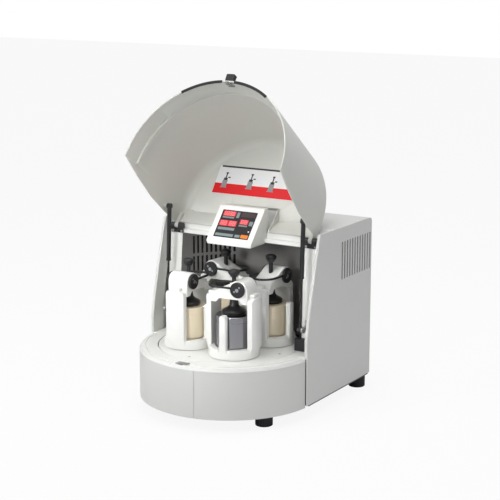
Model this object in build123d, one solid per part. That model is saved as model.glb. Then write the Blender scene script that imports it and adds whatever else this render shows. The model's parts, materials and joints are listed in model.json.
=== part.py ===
from build123d import *
import os

# Planetary ball mill with four grinding stations, hood open.
# Millimetres. X is left to right, Y runs front to back, Z is up from the bench.
# Everything is drawn about the main disc axis and moved back to the footprint centre on export.

os.makedirs("parts", exist_ok=True)

# Overall body
HALF_WIDTH = 290.0
SKIRT_INSET = 5.0
FRONT_RADIUS = HALF_WIDTH - SKIRT_INSET
REAR_Y = 401.0
CENTRE_SHIFT = (FRONT_RADIUS - REAR_Y) / 2
BASE_Z = 38.0
ROOF_Z = 566.0
SHEET = 3.0
JOIN_Y = -20.0

# Running and seat clearances
RUN = 1.5
SEAT = 0.3
BORE_FIT = 0.06

# Deck and disc
DECK_EDGE_Z = 190.0
DECK_Z = 198.0
DISC_R = 226.0
DISC_T = 8.0
DISC_TURN = -7.0
DECK_BORE_R = DISC_R + RUN
COLUMN_FOOT_Y = 50.0
COLUMN_HEAD_Y = 70.0
WALL_R = DISC_R + 9.0
WALL_TOP_Z = ROOF_Z - 50.0
FLANGE_T = 6.5
FLANGE_IN_X = HALF_WIDTH - SHEET - FLANGE_T
FRONT_EDGE_Z = 250.0
FRONT_EDGE_STEPS = (0, 50, 100, 150, 200, 250, 290)

# Hood and its hinge
HINGE_Y = 74.0
HINGE_Z = ROOF_Z - 26.0
OPEN_ANGLE = 125.0
HOOD_INSET = 8.0
HOOD_R = FRONT_RADIUS - HOOD_INSET
HOOD_T = 4.0
HOOD_BOTTOM_Z = 200.0
HOOD_CORNER_R = 36.0
SEAL_T = 3.2
LATCH_W = 14.0
LATCH_R = FRONT_RADIUS - 18.0
HINGE_X = HALF_WIDTH - 43.0
BEAM_Y = HINGE_Y + 2.0
SCREW_DX = (-16.5, 16.5)
SCREW_Z = WALL_TOP_Z + 5.5

# Gas struts
STRUT_X = HALF_WIDTH - 44.0
STRUT_BASE = (12.0, DECK_Z + 75.0)
STRUT_EYE = (28.0, HINGE_Z + 69.0)
TUBE_R = 7.0
TUBE_END = 177.0
ROD_R = 3.5
ROD_HOLD = 18.0
SOCKET_R = 7.5
SOCKET_W = 12.0
STUD_R = 3.0

# Stations
STATION_R = 129.0
STATION_ANGLES = {"left": 225.0, "front": 315.0, "right": 45.0, "back": 135.0}
STATION_TURNS = {"left": -90.0, "front": 4.6, "right": 88.0, "back": 178.0}
HOLDER_R = 78.0
ARM_R = 84.5
ARM_IN = 62.0
ARM_W = 66.0
HOLDER_Z = DECK_Z + RUN
FLOOR_H = 25.0
BOWL_R = 53.0
BOWL_H = 84.0
LID_H = 19.0
ARM_TOP = 186.0
HUB_H = 212.0
HUB_R = 24.0
HUB_T = 8.0
HUB_GAP = 0.4
HINGE_PIN_R = 5.0
HUB_X = 32.0
BRIDGE_W = 70.0
STEM_R = 6.5
BOW_REACH = 82.0

# Drive under the disc
SHAFT_R = 15.0
PLANET_SHAFT_R = 12.0
SUN_R = 61.32
PLANET_PULLEY_R = 28.0
BELT_T = 3.0
BELT_W = 9.0
BELT_PITCH = 12.0
FIRST_BELT_Z = 136.0
PLATE_Z = 84.0
PLATE_T = 8.0
BIG_PULLEY_R = 70.0
BIG_PULLEY_Z = 54.0
BIG_PULLEY_H = 22.0
MOTOR_Y = REAR_Y - 83.0
MOTOR_R = 64.0
MOTOR_PULLEY_R = 28.0


def save(name, shape):
    moved = Pos(0, CENTRE_SHIFT, 0) * shape
    moved.label = name
    export_step(moved, f"parts/{name}.step")


def column(radius, low, high, x=0.0, y=0.0):
    """Upright cylinder between two heights."""
    return Pos(x, y, (low + high) / 2) * Cylinder(radius, high - low)


def block(x0, x1, y0, y1, z0, z1):
    """Box from its two corners."""
    return Pos((x0 + x1) / 2, (y0 + y1) / 2, (z0 + z1) / 2) * Box(x1 - x0, y1 - y0, z1 - z0)


def cross_pin(radius, x0, x1, y, z):
    """Cylinder along X between two X values."""
    return Pos((x0 + x1) / 2, y, z) * Rot(0, 90, 0) * Cylinder(radius, abs(x1 - x0))


def turned(points):
    """Solid of revolution about Z from (radius, height) points."""
    return revolve(Plane.XZ * make_face(Polyline(*points, close=True)), Axis.Z)


def side_profile(points, x0, x1):
    """Prism along X from (Y, Z) points."""
    face = Plane.YZ * make_face(Polyline(*points, close=True))
    return Pos(x0, 0, 0) * extrude(face, x1 - x0)


def front_line(z):
    """Y of the side panel's front edge at a height."""
    if z < FRONT_EDGE_Z:
        return JOIN_Y
    return JOIN_Y + 76 * ((z - FRONT_EDGE_Z) / (ROOF_Z - FRONT_EDGE_Z)) ** 1.15


def edge_heights():
    """Heights of the points along the leaning front edge, spread with the roof's height."""
    return [FRONT_EDGE_Z + step * (ROOF_Z - FRONT_EDGE_Z) / 316 for step in FRONT_EDGE_STEPS]


def panel_outline(inset):
    """Side panel outline as (Y, Z) points, moved in from the edges by the inset."""
    low = BASE_Z + 6 + inset
    high = ROOF_Z - inset
    front = [(front_line(z) + inset, z) for z in edge_heights()]
    return [(JOIN_Y + inset, low)] + front + [(front_line(high) + inset, high), (REAR_Y - inset, high),
                                             (REAR_Y - inset, low)]


def side_panel(sign):
    outer = side_profile(panel_outline(0), HALF_WIDTH - SHEET, HALF_WIDTH)
    edge = [(front_line(z), z) for z in [DECK_EDGE_Z + 2] + edge_heights() + [ROOF_Z]]
    strip = edge + [(y + 50, z) for y, z in reversed(edge)]
    flange = side_profile(strip, FLANGE_IN_X, HALF_WIDTH - SHEET)
    panel = outer + flange
    panel = fillet(panel.edges().filter_by(Axis.X).group_by(Axis.Y)[-1].sort_by(Axis.Z)[-1:], 14)
    nose = [e for e in panel.edges() if abs(e.center().X - HALF_WIDTH) < 0.01
            and e.center().Y < front_line(min(e.center().Z, ROOF_Z)) + 1 and e.center().Z > BASE_Z + 10]
    panel = fillet(nose, 2.6)
    slots = []
    for i in range(12):
        y = REAR_Y - 201 + i * 17.2
        slot = extrude(SlotOverall(122, 8), 10, both=True)
        slots.append(Pos(HALF_WIDTH, y, ROOF_Z - 107) * Rot(0, 90, 0) * slot)
    panel = panel - slots
    if sign < 0:
        panel = mirror(panel, Plane.YZ)
    return panel


def skirt(first, last):
    """Part of the half-round front skirt between two angles."""
    ring = column(FRONT_RADIUS, BASE_Z, DECK_EDGE_Z - 4) - column(FRONT_RADIUS - SHEET, BASE_Z - 1, DECK_EDGE_Z)
    lip = column(FRONT_RADIUS - 1, BASE_Z, BASE_Z + 3) - column(FRONT_RADIUS - 18, BASE_Z - 1, BASE_Z + 4)
    arc = CenterArc((0, 0), 400, first, last - first)
    wedge = make_face([arc, Line(arc @ 1, (0, 0)), Line((0, 0), arc @ 0)])
    return (ring + lip) & Pos(0, 0, BASE_Z - 5) * extrude(wedge, 200)


def deck_plate():
    z = DECK_EDGE_Z
    r = FRONT_RADIUS
    bead = HOOD_BOTTOM_Z - SEAL_T - SEAT
    ring = turned([(DECK_BORE_R, DECK_Z - 5), (DECK_BORE_R, DECK_Z), (r - 23, DECK_Z), (r - 21, z + 4),
                   (r - 19, z + 4), (r - 18, bead), (r - 6.5, bead), (r - 5.5, z + 3.5), (r - 3, z + 3.5),
                   (r - 2.5, z), (r - 1, z), (r, z - 1), (r, z - 4 + SEAT), (r - 4, z - 4 + SEAT),
                   (r - 4, z - 7), (r - 10, z - 7), (r - 10, z - 2), (r - 24, DECK_Z - 5)])
    ring = ring & block(-400, 400, -400, JOIN_Y, 0, 400)
    x = FLANGE_IN_X - SEAT
    rear = block(-x, x, JOIN_Y, COLUMN_FOOT_Y + 8, DECK_Z - 5, DECK_Z) - column(DECK_BORE_R, 0, 400)
    return ring + rear - block(-LATCH_W / 2, LATCH_W / 2, -LATCH_R - 10, -LATCH_R + 5, 0, 400)


def leaning(offset=0.0):
    """Half space in front of the leaning column faces, moved back by the offset."""
    lean = (COLUMN_HEAD_Y - COLUMN_FOOT_Y) / (WALL_TOP_Z - DECK_Z)
    foot = COLUMN_FOOT_Y + offset - lean * 100
    head = COLUMN_FOOT_Y + offset + lean * (ROOF_Z + 34 - DECK_Z)
    return side_profile([(-400, DECK_Z - 100), (foot, DECK_Z - 100), (head, ROOF_Z + 34), (-400, ROOF_Z + 34)],
                        -400, 400)


def chamber_liner():
    low = DECK_Z
    tube = column(WALL_R + SHEET, low, WALL_TOP_Z) - column(WALL_R, 0, 700)
    tube = tube - leaning()
    x = FLANGE_IN_X - SEAT
    faces = block(-x, x, 0, 200, low, WALL_TOP_Z) & (leaning(SHEET) - leaning())
    faces = faces - column(WALL_R, 0, 700)
    slots = []
    for i in range(10):
        angle = 152 - i * 3.7
        for z in (WALL_TOP_Z - 112, WALL_TOP_Z - 45):
            slots.append(Rot(0, 0, angle) * Pos(WALL_R, 0, z) * Rot(0, 90, 0)
                         * extrude(SlotOverall(60, 8), 12, both=True))
    return tube + faces - slots


def crossbeam():
    """Front rail of the housing roof, stepped back behind the hood hinge."""
    x = FLANGE_IN_X - SEAT
    y = BEAM_Y
    profile = [(y, WALL_TOP_Z + 0.2), (y + 22, WALL_TOP_Z + 0.2), (y + 22, ROOF_Z - 20), (y + 11, ROOF_Z - 20),
               (y + 11, ROOF_Z - 37), (y + 2, ROOF_Z - 37), (y, ROOF_Z - 39)]
    beam = side_profile(profile, -x, x)
    for sx in (-1, 1):
        for dx in SCREW_DX:
            beam = beam - Pos(sx * HINGE_X + dx, y, SCREW_Z) * Rot(90, 0, 0) * Cylinder(2.5 + BORE_FIT, 20)
    return beam


def rear_cover():
    x = HALF_WIDTH - SHEET - SEAT
    low = BASE_Z + 6
    outline = [(104, low), (104, ROOF_Z - 18), (140, ROOF_Z), (REAR_Y, ROOF_Z), (REAR_Y, low)]
    outside = side_profile(outline, -x, x)
    outside = fillet(outside.edges().filter_by(Axis.X).group_by(Axis.Y)[-1].sort_by(Axis.Z)[-1], 14)
    back = REAR_Y - SHEET
    top = ROOF_Z - SHEET
    hollow = [(50, low - 50), (50, ROOF_Z - 45), (141, top), (back, top), (back, low - 50)]
    inside = side_profile(hollow, -x - 1, x + 1)
    inside = fillet(inside.edges().filter_by(Axis.X).group_by(Axis.Y)[-1].sort_by(Axis.Z)[-1], 11)
    cover = outside - inside + block(-x, x, 104, 106, ROOF_Z - 28, ROOF_Z - 19)
    cover = cover - block(-179.5, -96.5, REAR_Y - 20, REAR_Y + 5, 84.5, 115.5)
    slots = [block(60 + i * 14, 66 + i * 14, 380, 420, 110, 190) for i in range(10)]
    return cover - slots


def keypad_plane():
    """Plane of the sloping keypad with Z along its outward normal."""
    return Plane(origin=(0, 33.5, ROOF_Z + 6.3), x_dir=(1, 0, 0), z_dir=(0, -0.7675, 0.6411))


def console_housing():
    w = 84
    low = ROOF_Z - 54
    step = ROOF_Z - 37 + SEAT
    rail = ROOF_Z - 20 + SEAT
    profile = [(-20, low), (-22, low + 10), (74, low + 125), (96, low + 125), (103.5, low + 88),
               (103.5, low + 36), (BEAM_Y + 26, rail), (BEAM_Y + 10.7, rail), (BEAM_Y + 10.7, step), (BEAM_Y - SEAT, step),
               (BEAM_Y - SEAT, low)]
    face = Plane.YZ * make_face(Polyline(*profile, close=True))
    round_off = [v for v in face.vertices() if v.Z > low + 78 or v.Y < 0]
    body = Pos(-w, 0, 0) * extrude(fillet(round_off, 4.5), 2 * w)
    ends = [e for e in body.edges() if abs(abs(e.center().X) - w) < 0.01 and e.center().Z > low + 2
            and e.center().Y + 0.2 * (low + 128 - e.center().Z) < 101]
    body = chamfer(ends, 3)
    return body - keypad_plane() * Box(127.6, 98.6, 3)


def keypad():
    return keypad_plane() * Pos(0, 0, -0.4) * Box(127, 98, 1.8)


def hood_solid(shrink):
    r = HOOD_R - shrink
    top = ROOF_Z - shrink
    z0 = HOOD_BOTTOM_Z - 60 if shrink else HOOD_BOTTOM_Z
    drum = column(r, z0, top) + block(-r, r, 0, 160, z0, top)
    rim = drum.edges().group_by(Axis.Z)[-1].filter_by(lambda e: e.center().Y < 159)
    return fillet(rim, HOOD_CORNER_R - shrink)


def hood_shell_closed():
    shell = hood_solid(0) - hood_solid(HOOD_T)
    keep = side_profile([(-400, 100), (2, 100), (2, HOOD_BOTTOM_Z), (30, 290), (52, 383), (61, 470),
                         (64, HINGE_Z + 1), (20, ROOF_Z + 54), (-400, ROOF_Z + 54)], -400, 400)
    shell = shell & keep
    slope = side_profile([(14, ROOF_Z + 10), (66, HINGE_Z + 1), (200, HINGE_Z + 1), (200, ROOF_Z + 134),
                          (14, ROOF_Z + 134)], -400, 400)
    shell = shell - slope
    x = HOOD_R - 14
    tail = side_profile([(14 - 4, ROOF_Z - 6), (18, ROOF_Z), (64, HINGE_Z + 3), (61, HINGE_Z - 1),
                         (10, ROOF_Z - 6)], -x, x)
    shell = shell + tail
    notch = block(-97, 97, -52, 200, ROOF_Z - 66, ROOF_Z + 134)
    notch = fillet(notch.edges().filter_by(Axis.Z).group_by(Axis.Y)[0], 14)
    shell = shell - notch
    rib = column(HOOD_R - HOOD_T + 0.5, 242, 246) - column(HOOD_R - HOOD_T - 8, 240, 250)
    shell = shell + (rib & block(-400, 400, -400, 0, 0, 400))
    for s in (-1, 1):
        arm = side_profile([(30, HINGE_Z + 6), (HINGE_Y - 8, HINGE_Z + 6), (HINGE_Y + 2, HINGE_Z + 6),
                            (HINGE_Y + 8, HINGE_Z), (HINGE_Y, HINGE_Z - 8), (30, HINGE_Z - 4)], 0, 12)
        barrel = cross_pin(9, 0, 12, HINGE_Y, HINGE_Z)
        lug = (arm + barrel) - cross_pin(4 + BORE_FIT, -1, 13, HINGE_Y, HINGE_Z)
        shell = shell + Pos(s * HINGE_X - 6, 0, 0) * lug
        yc, zc = closed_eye()
        shell = shell + cross_pin(5, s * (STRUT_X + 7.5), s * (HOOD_R - 1), yc, zc)
    return shell


def swing_open(shape):
    """Turn a closed-hood shape about the hinge to the open position."""
    return Pos(0, HINGE_Y, HINGE_Z) * Rot(-OPEN_ANGLE, 0, 0) * Pos(0, -HINGE_Y, -HINGE_Z) * shape


def closed_eye():
    point = Vector(0, STRUT_EYE[0] - HINGE_Y, STRUT_EYE[1] - HINGE_Z).rotate(Axis.X, OPEN_ANGLE)
    return point.Y + HINGE_Y, point.Z + HINGE_Z


def rim_piece(inner, outer, z0, z1, first, last):
    """Arc segment on the hood rim."""
    arc = CenterArc((0, 0), 400, first, last - first)
    wedge = make_face([arc, Line(arc @ 1, (0, 0)), Line((0, 0), arc @ 0)])
    ring = column(outer, z0, z1) - column(inner, z0 - 1, z1 + 1)
    return ring & Pos(0, 0, z0 - 1) * extrude(wedge, z1 - z0 + 2)


def strut_frame(x):
    """Plane at the strut's lower pivot with Z along the strut."""
    dy = STRUT_EYE[0] - STRUT_BASE[0]
    dz = STRUT_EYE[1] - STRUT_BASE[1]
    return Plane(origin=(x, STRUT_BASE[0], STRUT_BASE[1]), x_dir=(1, 0, 0), z_dir=(0, dy, dz))


def strut_length():
    return ((STRUT_EYE[0] - STRUT_BASE[0]) ** 2 + (STRUT_EYE[1] - STRUT_BASE[1]) ** 2) ** 0.5


def strut_tube(x):
    length = strut_length()
    low = length - TUBE_END
    tube = column(TUBE_R, low, length - 4) + column(TUBE_R + 1, low, low + 6)
    eye = Pos(0, 0, length) * Rot(0, 90, 0) * Cylinder(9, 13)
    bore = column(ROD_R + BORE_FIT, low - 1, length - 12)
    return strut_frame(x) * (tube + eye - bore)


def strut_rod(x):
    length = strut_length()
    rod = column(ROD_R, 4, length - TUBE_END + ROD_HOLD)
    socket = Rot(0, 90, 0) * Cylinder(SOCKET_R, SOCKET_W) + column(6, 4, 12)
    socket = socket - Rot(0, 90, 0) * Cylinder(STUD_R + BORE_FIT, 2 * SOCKET_W)
    return strut_frame(x) * (rod + socket)


def holder():
    """Cup with two tall arms, two short posts and an integral shaft."""
    base = column(HOLDER_R, 0, 26) - column(BOWL_R + 1.5, FLOOR_H, 60)
    base = base + (column(HOLDER_R - 2, 25, 30) - column(BOWL_R + 6, 20, 40))
    base = fillet(base.edges().group_by(Axis.Z)[0], 2)
    arm_ring = turned([(ARM_IN - 8, 12), (HOLDER_R - 1, 12), (ARM_R, 34), (ARM_R, ARM_TOP),
                       (ARM_IN - 8, ARM_TOP)])
    height = ARM_TOP + 40
    arm_face = RectangleRounded(height, ARM_W, 13)
    sides = Pos(0, 0, ARM_TOP - height / 2) * Rot(0, 90, 0) * extrude(arm_face, 100, both=True)
    arms = (arm_ring & sides) - block(-ARM_IN, ARM_IN, -90, 90, 0, 300)
    post_ring = turned([(ARM_IN - 6, 12), (HOLDER_R - 1, 12), (HOLDER_R + 1, 30), (HOLDER_R + 1, 137),
                        (ARM_IN - 6, 137)])
    upright = Pos(0, 0, 137 - 80) * Rot(90, 0, 0) * extrude(RectangleRounded(28, 160, 8), 100, both=True)
    posts = (post_ring & upright) - block(-90, 90, -ARM_IN, ARM_IN, 0, 300)
    return base + arms + posts


def station_holder(level):
    """Holder with its drive shaft and the pulley at one belt level."""
    z = level - HOLDER_Z
    half = BELT_W / 2 + 0.5
    return holder() + column(PLANET_SHAFT_R, z - half - 2, 1) + column(PLANET_PULLEY_R, z - half, z + half)


def bowl(round_bottom):
    outer = column(BOWL_R, FLOOR_H, FLOOR_H + BOWL_H)
    outer = fillet(outer.edges().group_by(Axis.Z)[0], round_bottom)
    inner = column(BOWL_R - 12, FLOOR_H + 10, FLOOR_H + BOWL_H + 1)
    inner = fillet(inner.edges().group_by(Axis.Z)[0], 12)
    return outer - inner


def lid():
    z = FLOOR_H + BOWL_H
    top = column(BOWL_R, z, z + LID_H)
    top = fillet(top.edges().group_by(Axis.Z)[-1], 4)
    return top + column(BOWL_R - 12.5, z - 5, z + 1)


def bridge():
    """Clamping yoke that spans the two tall arms and carries the lever hinge."""
    profile = [(-61.6, 168), (-61.6, 190), (-50, 202), (-28, 212), (-4, 223), (8, 231), (20, 237), (32, 239),
               (44, 236.5), (54, 229.5), (60, 218), (61.6, 204), (61.6, 168), (44, 168), (34, 180), (-34, 180),
               (-44, 168)]
    face = Plane.XZ * make_face(Polyline(*profile, close=True))
    body = Pos(0, BRIDGE_W / 2, 0) * extrude(face, BRIDGE_W)
    rims = [e for e in body.edges() if abs(abs(e.center().Y) - BRIDGE_W / 2) < 0.01 and e.center().Z > 185]
    body = chamfer(rims, 2)
    lugs = block(-78, 78, -18, 18, ARM_TOP + SEAT, 197) - block(-58, 58, -90, 90, 0, 300)
    body = body + lugs
    hinge_bore = Pos(HUB_X, 0, HUB_H) * Rot(90, 0, 0) * Cylinder(HINGE_PIN_R + BORE_FIT, BRIDGE_W + 10)
    return body - column(STEM_R + BORE_FIT, 100, 300) - hinge_bore


def clamp_screw():
    z = FLOOR_H + BOWL_H + LID_H + SEAT
    cone = turned([(0, z), (35, z), (37, z + 3), (37, z + 10), (33, z + 14), (22, z + 20), (15, z + 26),
                   (13, z + 36), (13, z + 46), (0, z + 46)])
    stem = column(STEM_R, z + 40, 246)
    knob = turned([(0, 241), (9, 241), (19, 245), (20, 250), (16, 255), (6, 258), (0, 258)])
    return cone + stem + knob


def lever():
    """Locking lever: two hub discs, a hinge pin and a bow that runs round behind the clamp screw."""
    inside = BRIDGE_W / 2 + HUB_GAP
    outside = inside + HUB_T
    hub = Rot(90, 0, 0) * Cylinder(HUB_R, HUB_T)
    hubs = [Pos(HUB_X, s * (inside + HUB_T / 2), HUB_H) * hub for s in (-1, 1)]
    pin = Pos(HUB_X, 0, HUB_H) * Rot(90, 0, 0) * Cylinder(HINGE_PIN_R, BRIDGE_W + HUB_T)
    bend = BOW_REACH - outside
    straight = Rectangle(HUB_X - 10 + bend, 2 * outside)
    outer = Pos(-bend, 0) * Circle(outside) + Pos((HUB_X - 10 - bend) / 2, 0) * straight
    inner = Pos(-bend, 0) * Circle(inside) + Pos((HUB_X - bend) / 2, 0) * Rectangle(HUB_X + bend, 2 * inside)
    bow = Pos(0, 0, HUB_H + 1) * extrude(outer - inner, 6)
    return hubs[0] + hubs[1] + bow + pin


def placed(name, shape):
    """Move a station part to its place on the disc and turn it to its resting angle."""
    angle = STATION_ANGLES[name] + DISC_TURN
    return Rot(0, 0, angle) * Pos(STATION_R, 0, HOLDER_Z) * Rot(0, 0, STATION_TURNS[name] - angle) * shape


def main_disc():
    disc = column(DISC_R, DECK_Z - DISC_T, DECK_Z)
    disc = fillet(disc.edges().group_by(Axis.Z)[-1], 1.5)
    hub = column(40, DECK_Z - 30, DECK_Z - DISC_T + 1)
    disc = disc + hub - column(SHAFT_R, 0, 192)
    for angle in STATION_ANGLES.values():
        place = Rot(0, 0, angle) * Pos(STATION_R, 0, 0)
        disc = disc + place * column(24, FIRST_BELT_Z + 12, DECK_Z - DISC_T + 1)
    for angle in STATION_ANGLES.values():
        place = Rot(0, 0, angle) * Pos(STATION_R, 0, 0)
        disc = disc - place * column(PLANET_SHAFT_R + BORE_FIT, 0, 300)
    for angle in (0, 90, 180, 270):
        disc = disc - Rot(0, 0, angle) * Pos(DISC_R - 30, 0, 0) * column(4.5, DECK_Z - 3, 300)
    return Rot(0, 0, DISC_TURN) * disc


def disc_screws():
    screw = column(4.3, DECK_Z - 3, DECK_Z) - extrude(Pos(0, 0, DECK_Z - 1.5) * RegularPolygon(2.3, 6), 3)
    return Compound([Rot(0, 0, DISC_TURN + a) * Pos(DISC_R - 30, 0, 0) * screw for a in (0, 90, 180, 270)])


def loop_belt(r1, r2, distance, z, thickness, gap):
    """Flat belt round two upright pulleys, the second along +X at the distance."""
    def outline(extra):
        a = Circle(r1 + extra)
        b = Pos(distance, 0) * Circle(r2 + extra)
        return make_hull(a.edges() + b.edges())
    band = outline(gap + thickness) - outline(gap)
    return Pos(0, 0, z - BELT_W / 2) * extrude(band, BELT_W)


def planet_belts():
    belts = []
    for i, angle in enumerate(STATION_ANGLES.values()):
        belt = loop_belt(SUN_R, PLANET_PULLEY_R, STATION_R, FIRST_BELT_Z - i * BELT_PITCH, BELT_T, SEAT)
        belts.append(Rot(0, 0, angle + DISC_TURN) * belt)
    return Compound(belts)


def spindle_housing():
    low = PLATE_Z + PLATE_T
    body = column(SUN_R, low + 2, FIRST_BELT_Z + BELT_W / 2 + 1) + column(75, low, low + 2)
    body = body + column(34, 120, DECK_Z - 32)
    return body - column(SHAFT_R + BORE_FIT, 0, 300)


def drive_shaft():
    shaft = column(SHAFT_R, BIG_PULLEY_Z - 4, 192)
    pulley = column(BIG_PULLEY_R, BIG_PULLEY_Z, BIG_PULLEY_Z + BIG_PULLEY_H)
    return shaft + pulley


def base_frame():
    floor = column(FRONT_RADIUS - 22, BASE_Z, BASE_Z + 4)
    x = HALF_WIDTH - SHEET - SEAT
    floor = floor + block(-x, x, JOIN_Y + 20, REAR_Y - SHEET - SEAT, BASE_Z, BASE_Z + 4)
    plate = block(-120, 120, -120, MOTOR_Y + 56, PLATE_Z, PLATE_Z + PLATE_T)
    rows = (-105, 105, MOTOR_Y - 93, MOTOR_Y + 42)
    posts = [column(10, BASE_Z, PLATE_Z + 1, sx * 105, y) for sx in (-1, 1) for y in rows]
    frame = floor + plate + posts
    return frame - column(SHAFT_R + 4, 60, 300) - column(12, 60, 300, 0, MOTOR_Y)


def motor():
    low = PLATE_Z + PLATE_T
    body = column(MOTOR_R, low, 290, 0, MOTOR_Y)
    for i in range(16):
        fin = Pos(0, MOTOR_Y, 0) * Rot(0, 0, i * 22.5) * block(MOTOR_R - 4, MOTOR_R + 6, -2, 2, low + 20, 270)
        body = body + fin
    return body - column(8 + BORE_FIT, 0, 120, 0, MOTOR_Y)


def motor_pulley():
    low = BIG_PULLEY_Z
    pulley = column(MOTOR_PULLEY_R, low, low + BIG_PULLEY_H, 0, MOTOR_Y)
    return pulley + column(8, low, 119, 0, MOTOR_Y)


def drive_belt():
    z = BIG_PULLEY_Z + BIG_PULLEY_H / 2
    belt = loop_belt(BIG_PULLEY_R, MOTOR_PULLEY_R, MOTOR_Y, z, BELT_T, SEAT)
    return Rot(0, 0, 90) * belt


def hinge_brackets():
    """Two brackets, each with two ears round the hood's barrel and the hinge pin."""
    parts = []
    for s in (-1, 1):
        x = s * HINGE_X
        piece = block(x - 22, x + 22, BEAM_Y - 3, BEAM_Y, WALL_TOP_Z + SEAT, ROOF_Z - 36)
        for a, b in ((-22, -6.6), (6.6, 22)):
            ear = block(x + a, x + b, HINGE_Y - 9, BEAM_Y, ROOF_Z - 39.5, HINGE_Z) + block(
                x + a, x + b, BEAM_Y - 1, HINGE_Y + 9, ROOF_Z - 37 + SEAT, HINGE_Z)
            piece = piece + ear + cross_pin(9, x + a, x + b, HINGE_Y, HINGE_Z)
        for dx in SCREW_DX:
            piece = piece - Pos(x + dx, BEAM_Y, SCREW_Z) * Rot(90, 0, 0) * Cylinder(2.5 + BORE_FIT, 10)
        parts.append(piece + cross_pin(4, x - 15, x + 15, HINGE_Y, HINGE_Z))
    return Compound(parts)


def feet():
    parts = []
    front_x = FRONT_RADIUS - 85
    front_y = 161 - FRONT_RADIUS
    rear_x = HALF_WIDTH - 42
    rear_y = REAR_Y - 31
    for x, y in ((-front_x, front_y), (front_x, front_y), (-rear_x, rear_y), (rear_x, rear_y)):
        foot = column(27, 0, BASE_Z, x, y)
        parts.append(fillet(foot.edges().group_by(Axis.Z)[0], 3))
    return Compound(parts)


def bracket_screws():
    parts = []
    for s in (-1, 1):
        for dx in SCREW_DX:
            head = Pos(s * HINGE_X + dx, BEAM_Y - 4, SCREW_Z) * Rot(90, 0, 0) * Cylinder(4, 2)
            shank = Pos(s * HINGE_X + dx, BEAM_Y + 2, SCREW_Z) * Rot(90, 0, 0) * Cylinder(2.5, 12)
            parts.append(head + shank)
    return Compound(parts)


def latch_plate():
    y = -LATCH_R
    half = LATCH_W / 2
    plate = block(-20, 20, y - 9, y + 13, DECK_Z, DECK_Z + 1.6)
    return plate - block(-half, half, y - 10, y + 5, 0, 300)


def interlock_block():
    body = block(WALL_R - 21, FLANGE_IN_X - 23.5, 31, COLUMN_FOOT_Y, DECK_Z, DECK_Z + 38)
    return fillet(body.edges().filter_by(Axis.Z).group_by(Axis.Y)[0], 3)


def strut_studs():
    """Lower strut lugs on the column faces, each with its pin through the rod's socket."""
    y, z = STRUT_BASE
    inside = SOCKET_W / 2 + SEAT
    lug = (cross_pin(9, inside, inside + 6, y, z) + block(inside, inside + 6, y, 100, z - 9, z + 9)) & leaning()
    foot = block(-6, 22, 0, 100, z - 20, z + 20) & (leaning() - leaning(-SHEET))
    pin = cross_pin(STUD_R, -inside, inside + 1, y, z) + cross_pin(5, -inside - 2, -inside, y, z)
    right = Pos(STRUT_X, 0, 0) * (lug + foot + pin)
    return Compound([right, mirror(right, Plane.YZ)])


def power_inlet():
    """Rear appliance inlet and rocker frame in one moulding."""
    y = REAR_Y
    body = block(-179, -97, y - 24, y - 0.5, 85, 115) - block(-176, -150, y - 18, y + 5, 90, 110)
    body = body - block(-122.5, -99.5, y - 20, y + 5, 87, 113)
    return body - cross_pin(2 + BORE_FIT, -127, -95, y - 8, 100)


def power_switch():
    y = REAR_Y - 8
    rocker = cross_pin(11, -122, -100, y, 100) & block(-140, -80, y - 4, y + 20, 80, 120)
    return rocker + cross_pin(2, -126, -98, y, 100)


def hood_seals():
    """Two rubber strips on the rim's end face, either side of the latch."""
    z = HOOD_BOTTOM_Z
    spans = ((236, 265.4), (274.6, 303))
    return Compound([rim_piece(HOOD_R - 8.5, HOOD_R, z - SEAL_T, z, a, b) for a, b in spans])


def hood_handle():
    grip = rim_piece(HOOD_R + SEAT, HOOD_R + 24, HOOD_BOTTOM_Z, HOOD_BOTTOM_Z + 14, 266, 274)
    return fillet(grip.edges().filter_by(Axis.Z), 4)


def latch_hook():
    y = -HOOD_R + HOOD_T
    z = HOOD_BOTTOM_Z
    plate = block(-12, 12, y + 2 * SEAT, y + 3, z, z + 26)
    tongue = block(-5, 5, -LATCH_R - 4, -LATCH_R - 1, z - 7, z + 12)
    return plate + tongue + block(-5, 5, y + 1, -LATCH_R - 1, z + 8, z + 12)


def label_plate():
    top = ROOF_Z - HOOD_T
    half = HOOD_R - 101
    return block(-half, half, 115 - HOOD_R, -62, top - 1, top)


SHELF = {
    "base_frame": base_frame,
    "feet": feet,
    "deck_plate": deck_plate,
    "chamber_liner": chamber_liner,
    "rear_cover": rear_cover,
    "crossbeam": crossbeam,
    "console_housing": console_housing,
    "keypad": keypad,
    "spindle_housing": spindle_housing,
    "drive_shaft": drive_shaft,
    "main_disc": main_disc,
    "disc_screws": disc_screws,
    "planet_belts": planet_belts,
    "motor": motor,
    "motor_pulley": motor_pulley,
    "drive_belt": drive_belt,
    "hinge_brackets": hinge_brackets,
    "bracket_screws": bracket_screws,
    "latch_plate": latch_plate,
    "interlock_block": interlock_block,
    "strut_studs": strut_studs,
    "power_inlet": power_inlet,
    "power_switch": power_switch,
}
for part_name, make in SHELF.items():
    save(part_name, make())

save("skirt_left", skirt(184.0, 279.8))
save("skirt_right", skirt(280.0, 356.0))
save("side_panel_right", side_panel(1))
save("side_panel_left", side_panel(-1))

for side, x in (("left", -STRUT_X), ("right", STRUT_X)):
    save(f"strut_tube_{side}", strut_tube(x))
    save(f"strut_rod_{side}", strut_rod(x))

HOOD_SHELF = {
    "hood_shell": hood_shell_closed,
    "hood_seals": hood_seals,
    "hood_handle": hood_handle,
    "latch_hook": latch_hook,
    "label_plate": label_plate,
}
for part_name, make in HOOD_SHELF.items():
    save(part_name, swing_open(make()))

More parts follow.
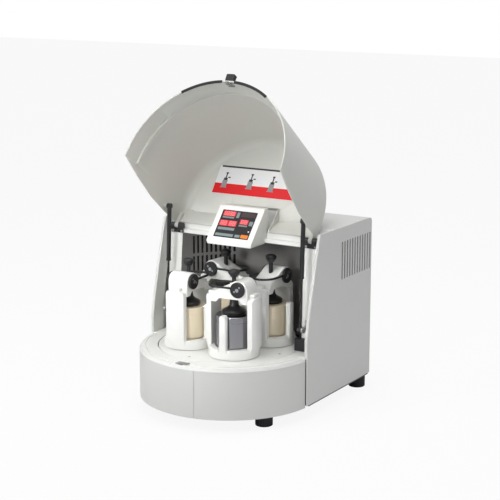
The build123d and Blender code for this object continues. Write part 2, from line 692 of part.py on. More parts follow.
for i, station in enumerate(STATION_ANGLES):
    rounding = 3 if station == "front" else 14
    save(f"holder_{station}", placed(station, station_holder(FIRST_BELT_Z - i * BELT_PITCH)))
    save(f"bowl_{station}", placed(station, bowl(rounding)))
    save(f"lid_{station}", placed(station, lid()))
    save(f"bridge_{station}", placed(station, bridge()))
    save(f"clamp_screw_{station}", placed(station, clamp_screw()))
    save(f"lever_{station}", placed(station, lever()))
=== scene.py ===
import bpy
import bmesh
import json
from math import cos, pi, radians, sin
from mathutils import Matrix, Vector


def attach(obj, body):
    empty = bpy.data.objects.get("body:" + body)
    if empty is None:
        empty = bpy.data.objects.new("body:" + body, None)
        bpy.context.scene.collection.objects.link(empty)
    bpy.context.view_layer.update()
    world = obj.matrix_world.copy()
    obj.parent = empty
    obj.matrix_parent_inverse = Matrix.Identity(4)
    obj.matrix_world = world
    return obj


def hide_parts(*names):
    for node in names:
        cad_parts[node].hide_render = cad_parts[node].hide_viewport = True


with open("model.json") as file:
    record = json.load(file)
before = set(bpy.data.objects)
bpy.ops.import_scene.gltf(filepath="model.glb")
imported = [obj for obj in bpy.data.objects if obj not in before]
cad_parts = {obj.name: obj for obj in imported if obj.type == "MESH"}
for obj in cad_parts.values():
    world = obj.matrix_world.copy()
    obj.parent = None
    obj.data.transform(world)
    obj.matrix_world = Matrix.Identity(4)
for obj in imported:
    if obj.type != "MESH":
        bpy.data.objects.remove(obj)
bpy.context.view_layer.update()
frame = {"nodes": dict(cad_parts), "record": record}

# The disc's axis stands AXIS millimetres in front of the frame's middle. The hood's hinge
# is in millimetres about that axis, angles are in degrees.
AXIS = 58
DISC_Y = -AXIS / 1000
HINGE_Y = 74
HINGE_Z = 540
OPEN_ANGLE = -125
DISC_TURN = -7


# ---------------------------------------------------------------- The picture
# The mill stands on a white sheet. A key light comes from the upper left, a wide lamp
# hangs above, and a narrow one shines into the chamber.
# The camera stands to the right of the middle and a little above the hood's hinge.

def light_value(r, g, b):
    """Screen colour from 0 to 255 as the light value that a shader takes."""
    linear = [((c / 255 + 0.055) / 1.055) ** 2.4 if c > 10 else c / 255 / 12.92 for c in (r, g, b)]
    return tuple(linear) + (1.0,)


eye = Vector((2.2902, -3.6608, 1.4125))
looked_at = Vector((0.043, -0.008, 0.4931))
camera_data = bpy.data.cameras.new("camera")
camera_data.lens = 101.09
camera_data.sensor_width = 36.0
camera_data.clip_end = 50.0
camera = bpy.data.objects.new("camera", camera_data)
camera.location = eye
camera.rotation_euler = (looked_at - eye).to_track_quat("-Z", "Y").to_euler()
bpy.context.scene.collection.objects.link(camera)
bpy.context.scene.camera = camera
bpy.context.scene.view_settings.view_transform = "Standard"

floor_mesh = bpy.data.meshes.new("floor")
floor_mesh.from_pydata([(-14, -14, 0), (14, -14, 0), (14, 14, 0), (-14, 14, 0)], [], [(0, 1, 2, 3)])
floor = bpy.data.objects.new("floor", floor_mesh)
bpy.context.scene.collection.objects.link(floor)
sheet = bpy.data.materials.new("white sheet")
sheet.use_nodes = True
tree = sheet.node_tree
tree.nodes.clear()
out = tree.nodes.new("ShaderNodeOutputMaterial")
mix = tree.nodes.new("ShaderNodeMixShader")
paper = tree.nodes.new("ShaderNodeBsdfDiffuse")
paper.inputs["Color"].default_value = (0.8, 0.8, 0.8, 1)
glow = tree.nodes.new("ShaderNodeEmission")
glow.inputs["Strength"].default_value = 1.0
ray = tree.nodes.new("ShaderNodeLightPath")
share = tree.nodes.new("ShaderNodeMath")
share.operation = "MULTIPLY"
share.inputs[1].default_value = 0.9
tree.links.new(ray.outputs["Is Camera Ray"], share.inputs[0])
tree.links.new(share.outputs[0], mix.inputs[0])
tree.links.new(paper.outputs[0], mix.inputs[1])
tree.links.new(glow.outputs[0], mix.inputs[2])
tree.links.new(mix.outputs[0], out.inputs["Surface"])
floor_mesh.materials.append(sheet)

world = bpy.data.worlds.new("daylight")
bpy.context.scene.world = world
world.use_nodes = True
tree = world.node_tree
tree.nodes.clear()
out = tree.nodes.new("ShaderNodeOutputWorld")
mix = tree.nodes.new("ShaderNodeMixShader")
soft = tree.nodes.new("ShaderNodeBackground")
soft.inputs["Color"].default_value = (0.95, 0.97, 1.0, 1)
soft.inputs["Strength"].default_value = 0.52
white = tree.nodes.new("ShaderNodeBackground")
white.inputs["Color"].default_value = (1, 1, 1, 1)
white.inputs["Strength"].default_value = 1.0
ray = tree.nodes.new("ShaderNodeLightPath")
tree.links.new(ray.outputs["Is Camera Ray"], mix.inputs[0])
tree.links.new(soft.outputs[0], mix.inputs[1])
tree.links.new(white.outputs[0], mix.inputs[2])
tree.links.new(mix.outputs[0], out.inputs["Surface"])

for name, place, aim, width, power, fan in (
        ("key lamp", (-1.9, -2.6, 2.6), (0, -0.1, 0.4), 1.6, 33, 180),
        ("top lamp", (0.2, -0.3, 3.0), (0, 0, 0), 2.0, 40, 180),
        ("chamber lamp", (0.05, -2.3, 1.1), (-0.02, 0, 0.44), 0.5, 0.75, 24)):
    lamp_data = bpy.data.lights.new(name, "AREA")
    lamp_data.size = width
    lamp_data.energy = power
    lamp_data.spread = radians(fan)
    lamp = bpy.data.objects.new(name, lamp_data)
    lamp.location = place
    lamp.rotation_euler = (Vector(aim) - Vector(place)).to_track_quat("-Z", "Y").to_euler()
    bpy.context.scene.collection.objects.link(lamp)


# ---------------------------------------------------------------- Feet
# Four turned rubber feet carry the machine. The bottom rim of each is rounded
# and the sides are matt from the mould.

def coat(name, colour, rough=0.42, grain=700.0, depth=0.12, vary=0.03, metal=0.0, gloss=0.0,
         streak=(1, 1, 1)):
    """Finish with fine surface grain, a slow change of tone and a small change of gloss."""
    m = bpy.data.materials.new(name)
    m.use_nodes = True
    n, l = m.node_tree.nodes, m.node_tree.links
    shader = n["Principled BSDF"]
    shader.inputs["Metallic"].default_value = metal
    shader.inputs["Coat Weight"].default_value = gloss
    shader.inputs["Coat Roughness"].default_value = 0.15
    place = n.new("ShaderNodeTexCoord")
    slow = n.new("ShaderNodeTexNoise")
    slow.inputs["Scale"].default_value = 9.0
    slow.inputs["Detail"].default_value = 3.0
    fine = n.new("ShaderNodeTexNoise")
    fine.inputs["Scale"].default_value = grain
    fine.inputs["Detail"].default_value = 2.0
    tone = n.new("ShaderNodeMix")
    tone.data_type = "RGBA"
    base = light_value(*colour)
    tone.inputs["A"].default_value = tuple(c * (1 - vary) for c in base[:3]) + (1.0,)
    tone.inputs["B"].default_value = tuple(min(1.0, c * (1 + vary)) for c in base[:3]) + (1.0,)
    sheen = n.new("ShaderNodeMapRange")
    sheen.inputs["To Min"].default_value = rough - 0.05
    sheen.inputs["To Max"].default_value = rough + 0.05
    bump = n.new("ShaderNodeBump")
    bump.inputs["Strength"].default_value = depth
    bump.inputs["Distance"].default_value = 0.0004
    l.new(place.outputs["Object"], slow.inputs["Vector"])
    stretch = n.new("ShaderNodeMapping")
    stretch.inputs["Scale"].default_value = streak
    l.new(place.outputs["Object"], stretch.inputs["Vector"])
    l.new(stretch.outputs["Vector"], fine.inputs["Vector"])
    l.new(slow.outputs["Fac"], tone.inputs["Factor"])
    l.new(tone.outputs["Result"], shader.inputs["Base Color"])
    l.new(slow.outputs["Fac"], sheen.inputs["Value"])
    l.new(sheen.outputs["Result"], shader.inputs["Roughness"])
    l.new(fine.outputs["Fac"], bump.inputs["Height"])
    l.new(bump.outputs["Normal"], shader.inputs["Normal"])
    return m


bodies = frame["record"]["behaviour"]["bodies"]
body_of = {node: body for body, nodes in bodies.items() for node in nodes}


# Corners closer than SAME_POINT metres are one. Faces that bend by less than FLAT_ANGLE degrees
# are joined, edges over SHARP_ANGLE stay sharp and those over EDGE_ANGLE are broken.
SAME_POINT = 2e-6
FLAT_ANGLE = 0.6
SHARP_ANGLE = 32
EDGE_ANGLE = 40


def smooth_copy(node, material, edge=0.0, steps=2, shape=None):
    """The node's own shape with merged corners, smooth curves and softly broken edges.
    The shape function, where given, moves or cuts the form before it is finished."""
    mesh = frame["nodes"][node].data.copy()
    mesh.name = node + "_shape"
    work = bmesh.new()
    work.from_mesh(mesh)
    bmesh.ops.remove_doubles(work, verts=work.verts, dist=SAME_POINT)
    bmesh.ops.dissolve_limit(work, angle_limit=radians(FLAT_ANGLE), verts=work.verts, edges=work.edges)
    if shape:
        shape(work)
        work.normal_update()
    work.to_mesh(mesh)
    work.free()
    mesh.materials.clear()
    mesh.materials.append(material)
    for p in mesh.polygons:
        p.use_smooth = True
    mesh.set_sharp_from_angle(angle=radians(SHARP_ANGLE))
    piece = bpy.data.objects.new(node + "_finished", mesh)
    bpy.context.scene.collection.objects.link(piece)
    if edge:
        rim = piece.modifiers.new("broken edge", "BEVEL")
        rim.width = edge
        rim.segments = steps
        rim.limit_method = "ANGLE"
        rim.angle_limit = radians(EDGE_ANGLE)
        rim.harden_normals = False
        rim.use_clamp_overlap = True
    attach(piece, body_of[node])
    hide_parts(node)
    return piece


def second_finish(piece, material, belongs):
    """Gives another finish to the faces whose centre and outward direction pass the test."""
    piece.data.materials.append(material)
    for p in piece.data.polygons:
        if belongs(p.center, p.normal):
            p.material_index = 1


def added(name, mesh, material, node):
    """A fine piece that travels with a node's body and wears the given material."""
    mesh.materials.clear()
    mesh.materials.append(material)
    piece = bpy.data.objects.new(name, mesh)
    bpy.context.scene.collection.objects.link(piece)
    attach(piece, body_of[node])
    return piece


def rear_feet_out(work):
    """Sets the rear feet a little nearer the corners."""
    for v in work.verts:
        if v.co.y > 0.2:
            v.co.x += 0.010 if v.co.x > 0 else -0.010
            v.co.y += 0.004


rubber = coat("foot rubber", (24, 24, 26), rough=0.7, grain=400, depth=0.3)
smooth_copy("feet", rubber, 0.0008, shape=rear_feet_out)


# ---------------------------------------------------------------- Frame, drive and motor
# A folded tray and a thick plate on turned posts carry the spindle housing with its
# fixed sun pulley. Flat belts run from it to the stations and from the motor.

steel_paint = coat("grey frame paint", (98, 100, 104), rough=0.5)
for node in ("base_frame", "spindle_housing"):
    smooth_copy(node, steel_paint, 0.0004)
turned_steel = coat("turned steel", (176, 177, 179), rough=0.28, grain=1500, depth=0.05, metal=1.0)
for node in ("drive_shaft", "motor_pulley"):
    smooth_copy(node, turned_steel, 0.0003)
belt_black = coat("belt rubber", (30, 30, 31), rough=0.75, grain=900, depth=0.3)
for node in ("planet_belts", "drive_belt"):
    smooth_copy(node, belt_black)
motor_grey = coat("motor enamel", (70, 74, 82), rough=0.45)
smooth_copy("motor", motor_grey, 0.0005)


# ---------------------------------------------------------------- Housing
# Skirt, side panels and rear cover are folded sheet with a fine powder coat in warm
# light grey. The deck and the leaning columns are white; the round chamber wall gets
# a dark grey as painted shade, the liner's front faces take the white as painted light,
# and a black sheet stands behind its air slots as painted shade.

shell_grey = coat("light grey powder coat", (214, 214, 210), rough=0.46)
for node in ("skirt_left", "skirt_right", "rear_cover", "side_panel_left", "side_panel_right"):
    smooth_copy(node, shell_grey, 0.0004)
inner_white = coat("white powder coat", (232, 232, 228), rough=0.4)
smooth_copy("deck_plate", inner_white, 0.0004)
smooth_copy("crossbeam", inner_white, 0.0006)
# Dark grey of the round chamber wall: painted shade, not the wall's own paint.
liner_painted_shade_grey = coat("chamber wall painted shade", (122, 120, 118), rough=0.4)
liner = smooth_copy("chamber_liner", liner_painted_shade_grey, 0.0003)
# Liner faces that look straight forward take the white coat as painted light; the rest keeps the dark grey as
# painted shade.
second_finish(liner, inner_white, lambda c, n: abs(c.x) > 0.2 and n.y < -0.9)


def drum_strip(name, inner, outer, low, high, first, last, steps=24):
    """Mesh of a curved strip about the disc's axis, sizes in millimetres and degrees."""
    verts, faces = [], []
    for i in range(steps + 1):
        a = radians(first + (last - first) * i / steps)
        for r, z in ((inner, low), (outer, low), (outer, high), (inner, high)):
            verts.append((r * cos(a) / 1000, (r * sin(a) - AXIS) / 1000, z / 1000))
        if i:
            b = 4 * i
            faces += [(b - 4 + k, b - 4 + (k + 1) % 4, b + (k + 1) % 4, b + k) for k in range(4)]
    faces += [(3, 2, 1, 0), (4 * steps, 4 * steps + 1, 4 * steps + 2, 4 * steps + 3)]
    mesh = bpy.data.meshes.new(name)
    mesh.from_pydata(verts, [], faces)
    return mesh


# A black sheet behind the liner's air slots is painted shade, set where only shade should fall.
slot_shade_black = coat("slot painted shade black", (14, 14, 15), rough=0.9, grain=260, depth=0.6)
slot_shade_mesh = drum_strip("slot_shade_sheet", 238.4, 243, 366, 508, 114, 157)
added("slot_shade_sheet", slot_shade_mesh, slot_shade_black, "chamber_liner")


# ---------------------------------------------------------------- Console
# The wedge over the chamber is a white housing with rounded edges. Its face lies in
# the plane of a sealed keypad with red displays, grey key fields and an orange key.

film_at = Vector((0, 0.0335 + DISC_Y, 0.5723))
film_up = Vector((0, 0.6411, 0.7675))
film_out = Vector((0, -0.7675, 0.6411))
right = Vector((1, 0, 0))
FILM_WIDE = 127
FILM_HIGH = 98
CONSOLE_TOP = 0.622
LIP_Y = -0.0645
LIP_Z = 0.522
CONSOLE_SHARE = 0.975


def on_face(z):
    """Point on the keypad's plane at a height, X left at zero."""
    return film_at + film_up * ((z - film_at.z) / film_up.z)


def thin_console(work):
    """Brings the face of the wedge back to the keypad's plane and lowers its top edge."""
    hidden = [v for v in work.verts
              if abs(v.co.x) < 0.0645 and abs((v.co - film_at).dot(film_out)) < 0.002
              and abs((v.co - film_at).dot(film_up)) < 0.0505]
    bmesh.ops.delete(work, geom=hidden, context="VERTS")
    for v in work.verts:
        x = v.co.x
        ahead = (v.co - film_at).dot(film_out)
        at_lip = v.co.y < -0.06
        if v.co.z < 0.514 and at_lip:
            v.co.y = LIP_Y
        elif v.co.z < 0.53 and at_lip:
            v.co = on_face(LIP_Z)
        elif ahead > 0:
            v.co -= film_out * ahead
            if v.co.z > CONSOLE_TOP:
                v.co = on_face(CONSOLE_TOP)
        elif v.co.z > CONSOLE_TOP:
            v.co.z = CONSOLE_TOP
        v.co.x = x * CONSOLE_SHARE


smooth_copy("console_housing", inner_white, 0.0032, 4, shape=thin_console)
film_black = coat("keypad film", (24, 21, 22), rough=0.35, grain=1200, depth=0.05)
smooth_copy("keypad", film_black, 0.0003)


def plates(name, rects, origin, across, up, low, high, material, node):
    """Thin plates on a flat face, each (left, bottom, right, top) in millimetres from the origin."""
    out = across.cross(up)
    verts, faces = [], []
    for u0, v0, u1, v1 in rects:
        b = len(verts)
        for h in (low, high):
            for u, v in ((u0, v0), (u1, v0), (u1, v1), (u0, v1)):
                verts.append(origin + (across * u + up * v + out * h) / 1000)
        faces += [(b + 3, b + 2, b + 1, b), (b + 4, b + 5, b + 6, b + 7)]
        faces += [(b + k, b + (k + 1) % 4, b + 4 + (k + 1) % 4, b + 4 + k) for k in range(4)]
    mesh = bpy.data.meshes.new(name)
    mesh.from_pydata(verts, [], faces)
    return added(name, mesh, material, node)


def segments(u, v, w, h, t=1.1):
    """Seven bars of one figure of a display, its lower left corner at u, v."""
    level = [(u + t, v + k * (h - t) / 2, u + w - t, v + k * (h - t) / 2 + t) for k in range(3)]
    upright = [(x, v + k * h / 2 + t / 2, x + t, v + (k + 1) * h / 2 - t / 2)
               for x in (u, u + w - t) for k in (0, 1)]
    return level + upright


def on_sheet(rows, wide, high):
    """Shares of a flat sheet's width and height, from its upper left corner, as millimetres."""
    return [((u0 - 0.5) * wide, (0.5 - v1) * high, (u1 - 0.5) * wide, (0.5 - v0) * high)
            for u0, v0, u1, v1 in rows]


display_red = coat("display red", (238, 58, 74), rough=0.3, grain=1500, depth=0.02)
figure_pale = coat("display figures", (255, 176, 170), rough=0.3, grain=1500, depth=0.02)
key_grey = coat("key grey", (126, 140, 140), rough=0.5)
field_brown = coat("dark field", (62, 48, 50), rough=0.4)
key_orange = coat("start key orange", (240, 126, 30), rough=0.45)
lamp_white = coat("signal lamp white", (240, 240, 236), rough=0.4)
for name, rows, finish in (
        ("key_displays", ((.05, .04, .40, .22), (.04, .38, .27, .58), (.29, .38, .52, .58),
                          (.60, .30, .83, .47)), display_red),
        ("key_bars", ((.06, .245, .39, .30), (.44, .06, .52, .26), (.05, .64, .52, .73), (.60, .50, .84, .55),
                      (.87, .34, .97, .50), (.04, .86, .55, .95), (.60, .86, .74, .95)), key_grey),
        ("key_field", ((.57, .04, .97, .20),), field_brown),
        ("key_start", ((.77, .84, .97, .96),), key_orange),
        ("key_lamp", ((.92, .69, .955, .73),), lamp_white)):
    plates(name, on_sheet(rows, FILM_WIDE, FILM_HIGH), film_at, right, film_up, 0.3, 0.8, finish, "keypad")
figures = []
for u0, v0, u1, v1, count in ((.07, .06, .38, .20, 4), (.06, .41, .25, .55, 2), (.31, .41, .50, .55, 2),
                              (.62, .32, .81, .45, 2)):
    left, low, end, top = on_sheet([(u0, v0, u1, v1)], FILM_WIDE, FILM_HIGH)[0]
    step = (end - left) / count
    for k in range(count):
        figures += segments(left + k * step + 0.14 * step, low, 0.72 * step, top - low)
plates("key_figures", figures, film_at, right, film_up, 0.7, 1.0, figure_pale, "keypad")


# ---------------------------------------------------------------- Disc
# The main disc is a machined aluminium plate, powder-coated white, held by four
# button screws.

def open_gap(work):
    """Leaves a clear dark line between the disc and the deck."""
    for v in work.verts:
        away = Vector((v.co.x, v.co.y - DISC_Y, 0))
        if away.length > 0.22:
            v.co -= away.normalized() * 0.0012


smooth_copy("main_disc", inner_white, 0.0005, shape=open_gap)
smooth_copy("disc_screws", turned_steel, 0.0003)


# ---------------------------------------------------------------- Stations
# Each holder is a white casting with two tall arms and two posts. A yoke with a
# screw and a locking lever presses the lid onto the bowl. The front bowl is steel,
# the others are ceramic, and each screw stands at its own height.

holder_white = coat("white casting enamel", (238, 238, 234), rough=0.3, gloss=0.3)
ceramic = coat("sintered ceramic", (234, 220, 192), rough=0.32, grain=500, depth=0.05, gloss=0.2)
bowl_steel = coat("turned stainless steel", (156, 156, 159), rough=0.24, grain=30, depth=0.35, metal=1.0,
                  streak=(0.2, 0.2, 60))
clamp_black = coat("black enamel", (17, 17, 18), rough=0.34, grain=500, depth=0.05, gloss=0.2)
angles = {"left": 225, "front": 315, "right": 45, "back": 135}
turns = {"left": -90.0, "front": 4.6, "right": 88.0, "back": 178.0}
STATION_R = 0.129
HOLDER_Z = 0.1995
KNOB_Z = 0.4375
RAISED = {"left": 0.019, "front": 0.009, "right": 0.024, "back": 0.016}


def station_place(station):
    """Matrix from a station's own frame in metres to the shared frame."""
    a = radians(angles[station] + DISC_TURN)
    return (Matrix.Translation((STATION_R * cos(a), STATION_R * sin(a) + DISC_Y, HOLDER_Z))
            @ Matrix.Rotation(radians(turns[station]), 4, "Z"))


def new_tree(name, inputs):
    """Geometry Nodes tree with named inputs; returns the tree with its input and output nodes."""
    tree = bpy.data.node_groups.new(name, "GeometryNodeTree")
    tree.interface.new_socket("Geometry", in_out="INPUT", socket_type="NodeSocketGeometry")
    for label, kind in inputs:
        tree.interface.new_socket(label, in_out="INPUT", socket_type=kind)
    tree.interface.new_socket("Geometry", in_out="OUTPUT", socket_type="NodeSocketGeometry")
    return tree, tree.nodes.new("NodeGroupInput"), tree.nodes.new("NodeGroupOutput")


def ridge_pattern():
    """Small blocks set round a circle, each turned to face outwards."""
    tree, given, made = new_tree("ridges round a circle", (
        ("Count", "NodeSocketInt"), ("Radius", "NodeSocketFloat"), ("Size", "NodeSocketVector"),
        ("Finish", "NodeSocketMaterial")))
    n, l = tree.nodes, tree.links
    ring = n.new("GeometryNodeMeshCircle")
    block = n.new("GeometryNodeMeshCube")
    index = n.new("GeometryNodeInputIndex")
    part = n.new("ShaderNodeMath")
    part.operation = "DIVIDE"
    turn = n.new("ShaderNodeMath")
    turn.operation = "MULTIPLY"
    turn.inputs[1].default_value = 2 * pi
    spin = n.new("ShaderNodeCombineXYZ")
    copies = n.new("GeometryNodeInstanceOnPoints")
    real = n.new("GeometryNodeRealizeInstances")
    finish = n.new("GeometryNodeSetMaterial")
    l.new(given.outputs["Count"], ring.inputs["Vertices"])
    l.new(given.outputs["Radius"], ring.inputs["Radius"])
    l.new(given.outputs["Size"], block.inputs["Size"])
    l.new(index.outputs[0], part.inputs[0])
    l.new(given.outputs["Count"], part.inputs[1])
    l.new(part.outputs[0], turn.inputs[0])
    l.new(turn.outputs[0], spin.inputs["Z"])
    l.new(ring.outputs["Mesh"], copies.inputs["Points"])
    l.new(block.outputs["Mesh"], copies.inputs["Instance"])
    l.new(spin.outputs[0], copies.inputs["Rotation"])
    l.new(copies.outputs["Instances"], real.inputs["Geometry"])
    l.new(real.outputs["Geometry"], finish.inputs["Geometry"])
    l.new(given.outputs["Finish"], finish.inputs["Material"])
    l.new(finish.outputs["Geometry"], made.inputs["Geometry"])
    return tree


def wire_path():
    """Round wire along the carrier's chain of edges."""
    tree, given, made = new_tree("wire along a path", (
        ("Radius", "NodeSocketFloat"), ("Sides", "NodeSocketInt"), ("Finish", "NodeSocketMaterial")))
    n, l = tree.nodes, tree.links
    path = n.new("GeometryNodeMeshToCurve")
    circle = n.new("GeometryNodeCurvePrimitiveCircle")
    sweep = n.new("GeometryNodeCurveToMesh")
    sweep.inputs["Fill Caps"].default_value = True
    real = n.new("GeometryNodeRealizeInstances")
    finish = n.new("GeometryNodeSetMaterial")
    l.new(given.outputs["Geometry"], path.inputs["Mesh"])
    l.new(given.outputs["Sides"], circle.inputs["Resolution"])
    l.new(given.outputs["Radius"], circle.inputs["Radius"])
    l.new(path.outputs["Curve"], sweep.inputs["Curve"])
    l.new(circle.outputs["Curve"], sweep.inputs["Profile Curve"])
    l.new(sweep.outputs["Mesh"], real.inputs["Geometry"])
    l.new(real.outputs["Geometry"], finish.inputs["Geometry"])
    l.new(given.outputs["Finish"], finish.inputs["Material"])
    l.new(finish.outputs["Geometry"], made.inputs["Geometry"])
    return tree


def bake(name, tree, values, points=()):
    """Runs a tree on a chain of points and returns its plain mesh."""
    chain = bpy.data.meshes.new(name + "_path")
    links = [(i, i + 1) for i in range(len(points) - 1)]
    chain.from_pydata([tuple(p) for p in points] or [(0, 0, 0)], links, [])
    carrier = bpy.data.objects.new(name + "_carrier", chain)
    bpy.context.scene.collection.objects.link(carrier)
    maker = carrier.modifiers.new("maker", "NODES")
    maker.node_group = tree
    for socket in tree.interface.items_tree:
        if socket.in_out == "INPUT" and socket.name in values:
            maker[socket.identifier] = values[socket.name]
    bpy.context.view_layer.update()
    seen = carrier.evaluated_get(bpy.context.evaluated_depsgraph_get())
    mesh = bpy.data.meshes.new_from_object(seen)
    carrier.modifiers.remove(maker)
    bpy.data.objects.remove(carrier)
    mesh.name = name
    return mesh


ridge_tree = ridge_pattern()
wire_tree = wire_path()
for station in ("left", "front", "right", "back"):
    place = station_place(station)
    centre = place.translation
    back = place.inverted()
    lift = RAISED[station]

    def slimmer(work):
        """Short posts narrower above the cup's edge."""
        for v in work.verts:
            p = back @ v.co
            if abs(p.y) > 0.0545 and abs(p.x) < 0.0145 and p.z > 0.0295:
                v.co = place @ Vector((p.x * 0.72, p.y, p.z))

    smooth_copy("holder_" + station, holder_white, 0.0010, 3, shape=slimmer)
    smooth_copy("bridge_" + station, holder_white, 0.0010, 3)
    stuff = bowl_steel if station == "front" else ceramic

    def fuller(work):
        """Bowl and lid a little wider about the station's axis."""
        for v in work.verts:
            v.co.x = centre.x + (v.co.x - centre.x) * 1.06
            v.co.y = centre.y + (v.co.y - centre.y) * 1.06

    def screwed_up(work):
        """Knob at the height where the screw stands, narrower and with a longer cone under it."""
        for v in work.verts:
            if v.co.z > KNOB_Z:
                v.co.z += lift - (0.008 if v.co.z < 0.442 else 0)
                away = Vector((v.co.x - centre.x, v.co.y - centre.y, 0))
                if away.length > 0.0075:
                    v.co -= away * 0.10

    smooth_copy("bowl_" + station, stuff, 0.0006, shape=fuller)
    smooth_copy("lid_" + station, stuff, 0.0008, shape=fuller)
    smooth_copy("clamp_screw_" + station, clamp_black, 0.0006, shape=screwed_up)
    smooth_copy("lever_" + station, clamp_black, 0.0018, 3)
    knob = bake("knob_ridges_" + station, ridge_tree,
                {"Count": 26, "Radius": 0.0163, "Size": (0.0011, 0.0018, 0.006)})
    knob.transform(place @ Matrix.Translation((0, 0, 0.2495 + lift)))
    added("knob_ridges_" + station, knob, clamp_black, "clamp_screw_" + station)
    dots = bpy.data.meshes.new("rivets_" + station)
    work = bmesh.new()
    for side in (-1, 1):
        for dx, dz, r in ((8, 9, 0.0030), (-9, -5, 0.0030), (0, 0, 0.0058)):
            spot = (Matrix.Translation(((32 + dx) / 1000, side * 0.0436, (212 + dz) / 1000))
                    @ Matrix.Rotation(pi / 2, 4, "X"))
            bmesh.ops.create_cone(work, cap_ends=True, segments=20, radius1=r, radius2=r,
                                  depth=0.0012, matrix=spot)
    work.to_mesh(dots)
    work.free()
    dots.transform(place)
    added("rivets_" + station, dots, turned_steel, "lever_" + station)


# ---------------------------------------------------------------- Hood, hinges and struts
# The half-round hood is sheet, light grey outside and inside, and tapers to its roof.
# It hangs on two black hinge brackets and is held by two gas struts. A label with a
# red band and plain pictures lies on its inner roof, bare of words. Sizes here are in
# millimetres with the hood closed.

HOOD_R = 277
TAPER = 15
TAPER_FROM = 241
HOOD_LOW = 200
HOOD_HIGH = 566
ROOF_FROM = 535
RIB_LOW = 242
RIB_HIGH = 246
NEW_RIB_LOW = 258
NEW_RIB_HIGH = 272
TROUGH_X = 226
TROUGH_RISE = ((-17, 0), (5, 14), (18, 6), (64, 0))

def opened(x, y, z):
    """Point of the closed hood, in millimetres about the disc's axis, at its place when open."""
    a = radians(OPEN_ANGLE)
    dy, dz = y - HINGE_Y, z - HINGE_Z
    return Vector((x, HINGE_Y + dy * cos(a) - dz * sin(a) - AXIS,
                   HINGE_Z + dy * sin(a) + dz * cos(a))) / 1000


def closed(v):
    """The reverse of opened."""
    a = radians(-OPEN_ANGLE)
    dy, dz = v.y * 1000 + AXIS - HINGE_Y, v.z * 1000 - HINGE_Z
    return v.x * 1000, HINGE_Y + dy * cos(a) - dz * sin(a), HINGE_Z + dy * sin(a) + dz * cos(a)


def rise(y):
    """Height of the trough's floor over the plain roof at a depth, by straight steps."""
    for (y0, h0), (y1, h1) in zip(TROUGH_RISE, TROUGH_RISE[1:]):
        if y0 <= y <= y1:
            return h0 + (h1 - h0) * (y - y0) / (y1 - y0)
    return 0


def formed_hood(work):
    """Tapers the wall, widens the rib, narrows the cut-out and raises the trough at the rear."""
    rearward = (opened(0, 1, 0) - opened(0, 0, 0)).normalized()
    cuts = [(0, y, rearward) for y in (-17, 5)] + [(x, 0, right) for x in (-228, -225, 225, 228)]
    for x, y, across in cuts:
        top = [f for f in work.faces if all(closed(v.co)[2] > 538 for v in f.verts)]
        edges = list({e for f in top for e in f.edges})
        corners = list({v for f in top for v in f.verts})
        bmesh.ops.bisect_plane(work, geom=top + edges + corners, dist=1e-6,
                               plane_co=opened(x, y, 560), plane_no=across)
    for v in work.verts:
        x, y, z = closed(v.co)
        side = 1 if x > 0 else -1
        # The hinge arms and the strut studs keep their places.
        arm = 239 < abs(x) < 254.5 and y > 28 and 528 < z < 550
        stud = abs(x) < 254 and 38 < y < 50 and 456 < z < 469
        if abs(z - RIB_LOW) < 0.3:
            z = NEW_RIB_LOW
        elif abs(z - RIB_HIGH) < 0.3:
            z = NEW_RIB_HIGH
        # The cut-out's front edge goes 25 back and its sides 8 in.
        if abs(x) < 97.5 and y > -53 and z > ROOF_FROM:
            if y < -37:
                y += 25
            if abs(x) > 82.5:
                x -= 8 * side
        if abs(x) < TROUGH_X and z > ROOF_FROM:
            z += rise(y)
        away = abs(x) if y > 0 else (x * x + y * y) ** 0.5
        if away > TAPER_FROM and z > HOOD_LOW and not arm and not stud:
            share = 1 - TAPER * (z - HOOD_LOW) / (HOOD_HIGH - HOOD_LOW) / (HOOD_R - TAPER_FROM)
            wanted = TAPER_FROM + (away - TAPER_FROM) * share
            x *= wanted / away
            if y <= 0:
                y *= wanted / away
        v.co = opened(x, y, z)


def hood_prism(name, profile, x0, x1, material):
    """Plate on the hood between two X values from its outline in depth and height, hood closed."""
    count = len(profile)
    verts = [opened(x, y, z) for x in (x0, x1) for y, z in profile]
    faces = [tuple(range(count - 1, -1, -1)), tuple(range(count, 2 * count))]
    faces += [(k, (k + 1) % count, (k + 1) % count + count, k + count) for k in range(count)]
    mesh = bpy.data.meshes.new(name)
    mesh.from_pydata(verts, [], faces)
    work = bmesh.new()
    work.from_mesh(mesh)
    bmesh.ops.recalc_face_normals(work, faces=work.faces)
    work.to_mesh(mesh)
    work.free()
    return added(name, mesh, material, "hood_shell")


hood_grey = coat("hood powder coat", (212, 212, 205), rough=0.45)
smooth_copy("hood_shell", hood_grey, shape=formed_hood)
cheek = [(-31, 562), (-31, 578), (2, 582), (5, 580), (64, 543), (61, 539), (40, 541), (10, 550),
         (-18, 550), (-27, 562)]
hood_prism("notch_cheek_left", cheek, -93, -89, hood_grey)
hood_prism("notch_cheek_right", cheek, 89, 93, hood_grey)
hood_prism("notch_flange", [(-31, 562), (-31, 578), (-27, 578), (-27, 562)], -92, 92, hood_grey)
seal_rubber = coat("seal rubber", (26, 26, 27), rough=0.7, grain=500, depth=0.2)
smooth_copy("hood_seals", seal_rubber, 0.0004)
black_plastic = coat("black moulding", (32, 32, 33), rough=0.5, grain=600, depth=0.2)


def short_grip(work):
    """Grip narrowed to a block about as wide as the hook's plate."""
    for v in work.verts:
        v.co.x *= 0.73


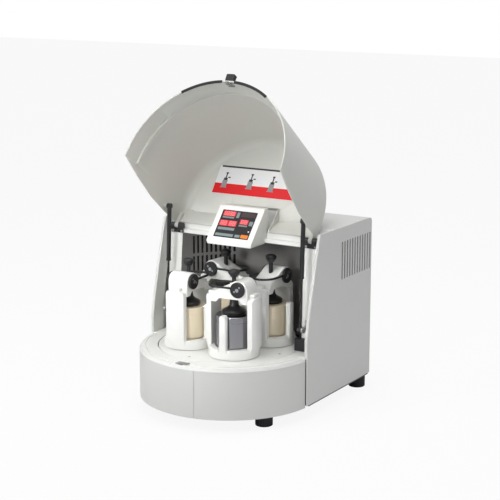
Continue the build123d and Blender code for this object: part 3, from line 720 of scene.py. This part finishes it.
smooth_copy("hood_handle", black_plastic, 0.0008, shape=short_grip)
for node in ("interlock_block", "power_inlet", "power_switch"):
    smooth_copy(node, black_plastic, 0.0008)
for node in ("hinge_brackets", "strut_tube_left", "strut_tube_right", "strut_rod_left",
             "strut_rod_right"):
    smooth_copy(node, clamp_black, 0.0005)
for node in ("bracket_screws", "strut_studs", "latch_plate", "latch_hook"):
    smooth_copy(node, turned_steel, 0.0002)
label_white = coat("printed film", (240, 240, 240), rough=0.35, grain=1200, depth=0.03)
smooth_copy("label_plate", label_white)
label_at = opened(0, -112, 561)
label_up = (opened(0, -113, 561) - label_at).normalized()
band_red = coat("print red", (226, 12, 24), rough=0.4)
# Dark print for the clamp pictures, also used for the painted shadow along the label's top edge.
print_and_shadow_dark = coat("print and painted shadow dark", (44, 44, 48), rough=0.4)
pot_grey = coat("pot grey", (150, 150, 152), rough=0.4)
pots = ((.10, .66), (.37, .64), (.60, .66), (.86, .68))
pot_rows = [(u - .026, v - .14, u + .026, v + .10) for u, v in pots]
pot_rows += [(u - .034, v + .10, u + .034, v + .13) for u, v in pots]
clamp_rows = [(u - .020, v - .22, u + .020, v - .14) for u, v in pots]
clamp_rows += [(u - .006, v - .38, u + .006, v - .22) for u, v in pots]
clamp_rows += [(u - .012, v - .42, u + .012, v - .37) for u, v in pots]
clamp_rows += [(u + .022, v - .26, u + .046, v - .22) for u, v in pots]
for name, rows, low, high, finish in (
        ("label_band", [(0.0, .64, 1.0, 1.0)], 0.02, 0.25, band_red),
        # The dark bar along the label's top edge is painted shadow of the plate's edge.
        ("label_edge_shadow", [(.02, .0, 1.0, .06)], 0.02, 0.25, print_and_shadow_dark),
        ("label_pots", pot_rows, 0.25, 0.45, pot_grey),
        ("label_clamps", clamp_rows, 0.25, 0.45, print_and_shadow_dark)):
    plates(name, on_sheet(rows, 352, 100), label_at, right, label_up, low, high, finish, "label_plate")
loop = []
for k in range(19):
    a = 2 * pi * k / 20
    loop.append(opened(262 + 2 * sin(a), -24 + 6 * cos(a), 262 - 12 * sin(a)))
wire = bake("rib_clip", wire_tree, {"Radius": 0.0011, "Sides": 10}, loop)
added("rib_clip", wire, turned_steel, "hood_shell")
